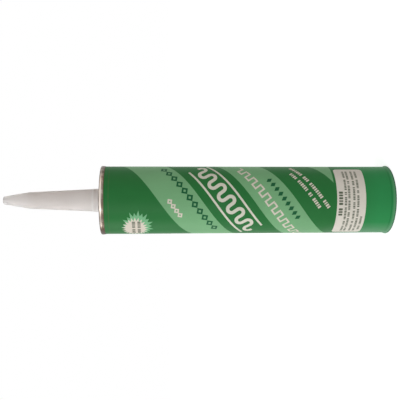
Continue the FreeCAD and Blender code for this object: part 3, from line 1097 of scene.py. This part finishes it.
class CARTRIDGE_OT_ornament(bpy.types.Operator):
    """Winding bead between two rules, along the stripes"""

    bl_idname = "cartridge.ornament"
    bl_label = "Ornament"

    def execute(self, context):
        ink = context.scene.cartridge_print
        cream = ink_material("cream_ink", context.scene.cartridge_colours.cream, 0.12)
        bead = printed_film("ornament_bead_ink", [[bead_outline()]])
        dress(bead, cream, "cartridge", "cream_ink", "ornament_bead")
        rules = []
        for side in (-1, 1):
            middle = side * ink.rule_offset
            rule = rounded_block(0.0, middle, ink.ornament_length, ink.rule_width, 0.0, 0)
            rules.append([along_stripes(ink.ornament_angle, ink.ornament_height, rule)])
        piece = printed_film("ornament_rules_ink", rules)
        dress(piece, cream, "cartridge", "cream_ink", "ornament_rules")
        return {"FINISHED"}


class CARTRIDGE_OT_starburst(bpy.types.Operator):
    """Pale starburst over a light green one, with two lines of plain strokes"""

    bl_idname = "cartridge.starburst"
    bl_label = "Starburst"

    def execute(self, context):
        ink = context.scene.cartridge_print
        colours = context.scene.cartridge_colours
        backing = burst_outline(
            ink.backing_angle, ink.backing_height, ink.backing_inner, ink.backing_outer,
            ink.backing_spread, -math.pi / (2 * BURST_SPIKES))
        green = bpy.data.materials["light_green_ink"]
        piece = printed_film("starburst_backing_ink", [[backing]])
        dress(piece, green, "cartridge", "light_green_ink", "starburst_backing")
        burst = burst_outline(ink.burst_angle, ink.burst_height, ink.burst_inner, ink.burst_outer)
        cream = bpy.data.materials["cream_ink"]
        piece = printed_film("starburst_ink", [[burst]], 2)
        dress(piece, cream, "cartridge", "cream_ink", "starburst")
        lines = (
            (-56.0, 188.8, 16.0, 2.3, (6, 5)),
            (-56.0, 184.9, 16.0, 2.3, (6, 5)),
        )
        grey = ink_material("burst_print_ink", colours.print_grey, 0.2)
        strokes = stroke_lines(lines, False)
        dress(printed_film("starburst_print", strokes, 3), grey, "cartridge", "cream_ink")
        return {"FINISHED"}


class CARTRIDGE_OT_print_rows(bpy.types.Operator):
    """Border rows and lines of plain strokes, on and between the stripes"""

    bl_idname = "cartridge.print_rows"
    bl_label = "Print Rows"

    def execute(self, context):
        colours = context.scene.cartridge_colours
        dark = ink_material("print_green_ink", colours.print_green)
        cream = bpy.data.materials["cream_ink"]
        dark_rows = (
            (4.0, 148.9, 67.0, 5.8, 1.3, [open_lozenge] * 11),
            (2.0, 81.4, 38.0, 5.0, 1.0, [solid_lozenge] * 9),
        )
        cream_rows = (
            (-14.0, 159.4, 17.0, 4.4, 1.0, [open_lozenge] * 4),
            (-8.0, 90.4, 78.0, 6.0, 1.2, [square_wave] * 10),
        )
        cream_lines = (
            (18.0, 65.6, 34.0, 2.6, (5, 2, 6, 4)),
            (27.0, 61.8, 44.0, 2.6, (4, 8, 3, 7)),
        )
        strokes = stroke_lines(cream_lines, True)
        dress(printed_film("cream_print_lines", strokes, 2), cream, "cartridge", "cream_ink")
        for name, rows, material, slot in (
            ("dark_print_rows", dark_rows, dark, "light_green_ink"),
            ("cream_print_rows", cream_rows, cream, "cream_ink"),
        ):
            shapes = []
            for angle, level, total, tall, stroke, motifs in rows:
                shapes += border_row(
                    math.radians(angle), level * MM, total * MM, tall * MM, stroke * MM, motifs)
            dress(printed_film(name, shapes, 2), material, "cartridge", slot)
        return {"FINISHED"}


class CARTRIDGE_OT_front_end(bpy.types.Operator):
    """Tinplate end with its double seam"""

    bl_idname = "cartridge.front_end"
    bl_label = "Tinplate End"

    def execute(self, context):
        end = context.scene.cartridge_front_end
        colours = context.scene.cartridge_colours
        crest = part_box("front_end")[1].z
        half = end.plate / 2
        base = crest - end.countersink_depth
        panel = base + end.panel_rise + half
        boss = base + end.panel_rise + end.boss_rise + half
        chuck = end.chuck_radius + half
        edge = chuck - end.countersink_width
        outer = end.seam_radius - half
        corners = [
            (end.hole_radius, boss, 0),
            (end.boss_radius, boss, end.fillet),
            (end.boss_radius + end.bead_run, panel, end.fillet),
            (edge - end.bead_run, panel, end.fillet),
            (edge, base + half, end.fillet),
            (chuck, base + half, end.fillet),
            (chuck, crest - half, end.fillet),
            (outer, crest - half, end.crest_fillet),
            (outer, crest - end.seam_height / 2, end.crest_fillet),
            (outer - end.hook_growth, crest - end.seam_height + half, 0),
        ]
        tin = metal_material("tinplate", colours.tinplate, colours.tarnish, 0.6, 0.28)
        self.add_marks_and_painted_light(tin, crest, crest - end.seam_height, colours)
        piece = turned_piece("front_end_tinplate", sheet_section(corners, end.plate))
        dress(piece, tin, "cartridge", "tinplate", "front_end")
        return {"FINISHED"}

    def add_marks_and_painted_light(self, tin, crest, foot, colours):
        """Paint a highlight below the seam's crest, painted shade and dirt on its wall, under its foot,
        on its crest and round its sides, and a darker patch low on its front.
        """
        tree = tin.node_tree
        # Uneven blotches that vary the painted highlight, the painted shade and the dirt below.
        seam_blotches = noise(tree, object_place(tree), 260.0, 3.0)
        scale = (1.0, 1.0, 0.0)
        flat = add_node(
            tree, "VectorMath", set_operation="MULTIPLY", in_0=object_place(tree), in_1=scale)
        reach = add_node(
            tree, "VectorMath", set_operation="LENGTH", in_0=flat.outputs["Vector"]).outputs["Value"]
        outside = ramp(tree, reach, 23.8 * MM, 24.2 * MM)
        across = coordinate(tree, "X")
        whole = height_band(tree, foot, crest, 0.1 * MM)
        # Painted shade and dirt on the seam's wall, and painted shadow and dirt under its tucked lower
        # edge.
        wall = height_band(tree, foot, foot + 1.4 * MM, 0.6 * MM)
        tuck = height_band(tree, foot - 0.5 * MM, foot + 0.3 * MM, 0.25 * MM)
        # Painted highlight below the crest.
        bright = height_band(tree, crest - 1.3 * MM, crest - 0.9 * MM, 0.3 * MM)
        # Painted shade and dirt along the crest's top.
        top = height_band(tree, crest - 0.5 * MM, crest, 0.3 * MM)
        front = ramp(tree, coordinate(tree, "Y"), -18.0 * MM, -22.0 * MM)
        # A darker patch low on the front of the seam.
        patch_start = ramp(tree, across, 3.5 * MM, 0.5 * MM)
        patch_end = ramp(tree, across, -7.0 * MM, -3.5 * MM)
        front_dark_patch = times(tree, times(tree, patch_start, patch_end), times(tree, front, wall))
        bands = [
            (wall, 0.3, 0.62, colours.seam_dirt_and_painted_shade),
            (tuck, 0.7, 0.95, colours.seam_dirt_and_painted_shade),
            (bright, 0.45, 0.75, colours.seam_painted_highlight),
            (top, 0.3, 0.45, colours.seam_dirt_and_painted_shade),
            (front_dark_patch, 0.6, 0.6, colours.seam_dirt_and_painted_shade),
        ]
        # Painted shade round the seam by side, strongest at +X and -X, with a duller middle that dims
        # the painted highlight.
        sides = (
            (12.0, 20.0, 0.6, 0.82),
            (1.0, -5.0, 0.2, 0.3),
            (-6.0, -14.0, 0.45, 0.65),
            (-17.8, -20.5, 0.7, 0.95),
        )
        for near, far, least, most in sides:
            side = times(tree, ramp(tree, across, near * MM, far * MM), whole)
            bands.append((side, least, most, colours.seam_dirt_and_painted_shade))
        for band, least, most, rgb in bands:
            amount = times(tree, ramp(tree, seam_blotches, 0.32, 0.6, least, most), outside)
            lay_colour(tin, band, amount, rgb)


class CARTRIDGE_OT_nozzle(bpy.types.Operator):
    """Tapered nozzle with its collar, knee and closed tip"""

    bl_idname = "cartridge.nozzle"
    bl_label = "Nozzle"

    def execute(self, context):
        nozzle = context.scene.cartridge_nozzle
        colours = context.scene.cartridge_colours
        low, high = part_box("nozzle")[0].z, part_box("nozzle")[1].z
        flange_top = low + nozzle.flange_thickness
        boss = flange_top + context.scene.cartridge_front_end.plate
        collar_top = boss + nozzle.collar_height
        foot = nozzle.collar_radius - nozzle.collar_step
        knee = boss + nozzle.knee_height
        corners = [
            (foot - nozzle.wall, low, 0),
            (nozzle.flange_radius, low, 0),
            (nozzle.flange_radius, flange_top, 0),
            (nozzle.neck_radius, flange_top, 0),
            (nozzle.neck_radius, boss, 0),
            (nozzle.collar_radius, boss, 0),
            (nozzle.collar_radius, collar_top, nozzle.collar_fillet),
            (foot, collar_top + nozzle.collar_step, nozzle.collar_fillet),
            (nozzle.knee_radius, knee, 0),
            (nozzle.tip_radius, high, nozzle.tip_fillet),
            (0.0, high, 0),
            (0.0, high - nozzle.tip_wall, 0),
            (nozzle.tip_radius - nozzle.wall, high - nozzle.tip_wall, 0),
            (nozzle.knee_radius - nozzle.wall, knee, 0),
            (foot - nozzle.wall, collar_top, 0),
        ]
        plastic = plastic_material("nozzle_plastic", colours.nozzle, 0.06, 0.45, 1.0, 16.0 * MM)
        tree = plastic.node_tree
        # Painted highlights on the two rings by the collar, paler plastic towards the tip, and painted
        # light on the root by the seam.
        pale_and_painted_light_bands = (
            (collar_top - 0.4 * MM, collar_top + 0.4 * MM, 0.6, 0.6),
            (boss + 4.3 * MM, boss + 4.9 * MM, 0.6, 0.45),
            (high - 8.0 * MM, high, 16.0, 0.4),
            (low, collar_top, 20.0, 0.25),
        )
        for band_low, band_high, soft, amount in pale_and_painted_light_bands:
            band = height_band(tree, band_low, band_high, soft * MM)
            lay_colour(plastic, band, amount, colours.nozzle_pale_and_painted_light)
        piece = turned_piece("nozzle_moulding", rounded_section(corners))
        dress(piece, plastic, "cartridge", "nozzle_plastic", "nozzle")
        return {"FINISHED"}


class CARTRIDGE_OT_seal(bpy.types.Operator):
    """Foil disc under the nozzle's foot"""

    bl_idname = "cartridge.seal"
    bl_label = "Pierce Seal"

    def execute(self, context):
        colours = context.scene.cartridge_colours
        foil = metal_material("foil", colours.foil, colours.tarnish, 0.05, 0.2)
        piece = turned_piece("pierce_seal_foil", disc_section(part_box("pierce_seal")))
        dress(piece, foil, "cartridge", "foil", "pierce_seal")
        return {"FINISHED"}


class CARTRIDGE_OT_paste(bpy.types.Operator):
    """Column of paste, with a mesh of its own"""

    bl_idname = "cartridge.paste"
    bl_label = "Paste"

    def execute(self, context):
        low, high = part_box("sealant")
        paste = plastic_material("sealant_paste", context.scene.cartridge_colours.paste, 0.15, 0.3)
        piece = turned_piece("paste_column", disc_section((low, high)))
        dress(piece, paste, "cartridge", "sealant_paste", "sealant")
        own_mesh(piece)
        return {"FINISHED"}


class CARTRIDGE_OT_plunger(bpy.types.Operator):
    """Plunger: a cup with two wiping lips, a ring and a pip"""

    bl_idname = "cartridge.plunger"
    bl_label = "Plunger"

    def execute(self, context):
        plunger = context.scene.cartridge_plunger
        low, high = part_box("plunger")
        radius = high.x
        body = radius - plunger.relief
        cup = body - plunger.wall
        floor = high.z - plunger.face
        ring_inner = plunger.ring_radius - plunger.ring_width / 2
        ring_outer = plunger.ring_radius + plunger.ring_width / 2
        corners = [
            (0.0, high.z, 0),
            (radius, high.z, plunger.edge_fillet),
            (radius, high.z - plunger.lip_height, 0),
            (body, high.z - plunger.lip_height - plunger.relief, 0),
            (body, low.z + plunger.lip_height + plunger.relief, 0),
            (radius, low.z + plunger.lip_height, 0),
            (radius, low.z, plunger.edge_fillet),
            (cup, low.z, plunger.edge_fillet),
            (cup, floor, plunger.floor_fillet),
            (ring_outer, floor, 0),
            (ring_outer, floor - plunger.ring_height, 0),
            (ring_inner, floor - plunger.ring_height, 0),
            (ring_inner, floor, 0),
            (plunger.pip_radius, floor, 0),
            (plunger.pip_radius, floor - plunger.pip_height, 0),
            (0.0, floor - plunger.pip_height, 0),
        ]
        plastic = plastic_material("plunger_plastic", context.scene.cartridge_colours.plunger)
        piece = turned_piece("plunger_moulding", rounded_section(corners))
        dress(piece, plastic, "plunger", "plunger_plastic", "plunger")
        return {"FINISHED"}


# Stage

def aim(thing, target, up):
    """Turn a lamp or camera to look at a point."""
    forward = (target - thing.location).normalized()
    side = forward.cross(up).normalized()
    top = side.cross(forward)
    thing.rotation_mode = "QUATERNION"
    thing.rotation_quaternion = Matrix((side, top, -forward)).transposed().to_quaternion()


def add_lamp(name, location, size, power, tint):
    """Soft rectangular lamp that looks at the middle of the tube."""
    lamp = bpy.data.lights.new(name, "AREA")
    lamp.shape = "RECTANGLE"
    lamp.size, lamp.size_y = size
    lamp.energy = power
    lamp.color = tint
    thing = bpy.data.objects.new(name, lamp)
    bpy.context.scene.collection.objects.link(thing)
    thing.location = location
    aim(thing, Vector((0.0, 0.0, 0.12)), Vector((0.0, 0.0, 1.0)))


def white_to_the_eye(tree):
    """1 for camera, glossy and transmission rays, which see the white sweep itself."""
    path = add_node(tree, "LightPath").outputs
    seen = maths(tree, "MAXIMUM", path["Is Camera Ray"], path["Is Glossy Ray"])
    return maths(tree, "MAXIMUM", seen, path["Is Transmission Ray"])


class CARTRIDGE_OT_stage(bpy.types.Operator):
    """Camera, soft lamps, pale floor and white surroundings"""

    bl_idname = "cartridge.stage"
    bl_label = "Stage"

    def execute(self, context):
        scene = context.scene
        stage = scene.cartridge_stage
        scene.view_settings.view_transform = "Standard"
        self.add_camera(scene, stage)
        self.add_world(scene, stage)
        self.add_floor(scene, stage)
        white = (1.0, 1.0, 1.0)
        warm = (1.0, 0.55, 0.36)
        add_lamp("key_lamp", (-1.56, 0.08, 0.34), (0.5, 0.5), stage.key_power, white)
        add_lamp("front_lamp", (-0.57, -0.97, 0.33), (0.5, 0.4), stage.front_power, white)
        add_lamp("rim_lamp", (0.75, -0.2, 0.2), (0.4, 0.4), stage.rim_power, warm)
        return {"FINISHED"}

    def add_camera(self, scene, stage):
        """Level camera in front of the tube, which lies along the picture's width."""
        camera = bpy.data.cameras.new("camera")
        camera.lens = stage.focal_length
        camera.sensor_width = 36.0
        camera.clip_start = 0.01
        camera.clip_end = 100.0
        thing = bpy.data.objects.new("camera", camera)
        scene.collection.objects.link(thing)
        thing.location = (0.0, -stage.camera_distance, stage.camera_height)
        forward = Vector((0.0, math.cos(stage.camera_pitch), -math.sin(stage.camera_pitch)))
        right = Vector((0.0, -math.sin(stage.camera_pitch), -math.cos(stage.camera_pitch)))
        top = Vector((1.0, 0.0, 0.0))
        turned = Matrix.Rotation(stage.camera_roll, 3, -forward)
        axes = Matrix((turned @ right, turned @ top, -forward)).transposed()
        thing.rotation_mode = "QUATERNION"
        thing.rotation_quaternion = axes.to_quaternion()
        scene.camera = thing

    def add_world(self, scene, stage):
        """Plain light from all round, seen as white."""
        world = bpy.data.worlds.new("surroundings")
        world.use_nodes = True
        scene.world = world
        tree = world.node_tree
        strength = ramp(tree, white_to_the_eye(tree), 0.0, 1.0, stage.ambient, 1.0)
        background = tree.nodes["Background"]
        background.inputs["Color"].default_value = (1.0, 1.0, 1.0, 1.0)
        tree.links.new(strength, background.inputs["Strength"])

    def add_floor(self, scene, stage):
        """Pale floor, seen as white."""
        sides = ((-1, -1), (1, -1), (1, 1), (-1, 1))
        corners = [(FLOOR_REACH * x, FLOOR_REACH * y, 0.0) for x, y in sides]
        mesh = bpy.data.meshes.new("floor")
        mesh.from_pydata(corners, [], [(0, 1, 2, 3)])
        floor = bpy.data.objects.new("floor", mesh)
        scene.collection.objects.link(floor)
        material = bpy.data.materials.new("pale_floor")
        material.use_nodes = True
        tree = material.node_tree
        shader = tree.nodes["Principled BSDF"]
        shader.inputs["Base Color"].default_value = (0.86, 0.86, 0.86, 1.0)
        shader.inputs["Roughness"].default_value = 0.9
        shader.inputs["Specular IOR Level"].default_value = 0.1
        shader.inputs["Emission Color"].default_value = (1.0, 1.0, 1.0, 1.0)
        lift = ramp(tree, white_to_the_eye(tree), 0.0, 1.0, 0.0, stage.floor_lift)
        tree.links.new(lift, shader.inputs["Emission Strength"])
        mesh.materials.append(material)


PIECES = (
    CARTRIDGE_OT_tube,
    CARTRIDGE_OT_label,
    CARTRIDGE_OT_stripes,
    CARTRIDGE_OT_panel,
    CARTRIDGE_OT_ornament,
    CARTRIDGE_OT_starburst,
    CARTRIDGE_OT_print_rows,
    CARTRIDGE_OT_front_end,
    CARTRIDGE_OT_nozzle,
    CARTRIDGE_OT_seal,
    CARTRIDGE_OT_paste,
    CARTRIDGE_OT_plunger,
    CARTRIDGE_OT_stage,
)


class CARTRIDGE_PT_sidebar(bpy.types.Panel):
    """Lists the cartridge's pieces and settings"""

    bl_label = "Sealant Cartridge"
    bl_idname = "CARTRIDGE_PT_sidebar"
    bl_space_type = "VIEW_3D"
    bl_region_type = "UI"
    bl_category = "Sealant Cartridge"

    def draw(self, context):
        """Show a button for each piece, and then each group of settings."""
        for piece in PIECES:
            self.layout.operator(piece.bl_idname)
        for name, group in SETTINGS.items():
            box = self.layout.box()
            box.label(text=name.replace("_", " ").capitalize())
            for setting in group.__annotations__:
                box.prop(getattr(context.scene, name), setting)


CLASSES = tuple(SETTINGS.values()) + PIECES + (CARTRIDGE_PT_sidebar,)


def register():
    """Register the classes and hang the settings on the scene."""
    for item in CLASSES:
        bpy.utils.register_class(item)
    for name, group in SETTINGS.items():
        setattr(bpy.types.Scene, name, bpy.props.PointerProperty(type=group))


def unregister():
    """Take the settings and the classes away again."""
    for name in SETTINGS:
        delattr(bpy.types.Scene, name)
    for item in reversed(CLASSES):
        bpy.utils.unregister_class(item)


def main():
    """Build every piece and the stage."""
    register()
    for piece in PIECES:
        group, name = piece.bl_idname.split(".")
        getattr(getattr(bpy.ops, group), name)()


if __name__ == "__main__":
    main()
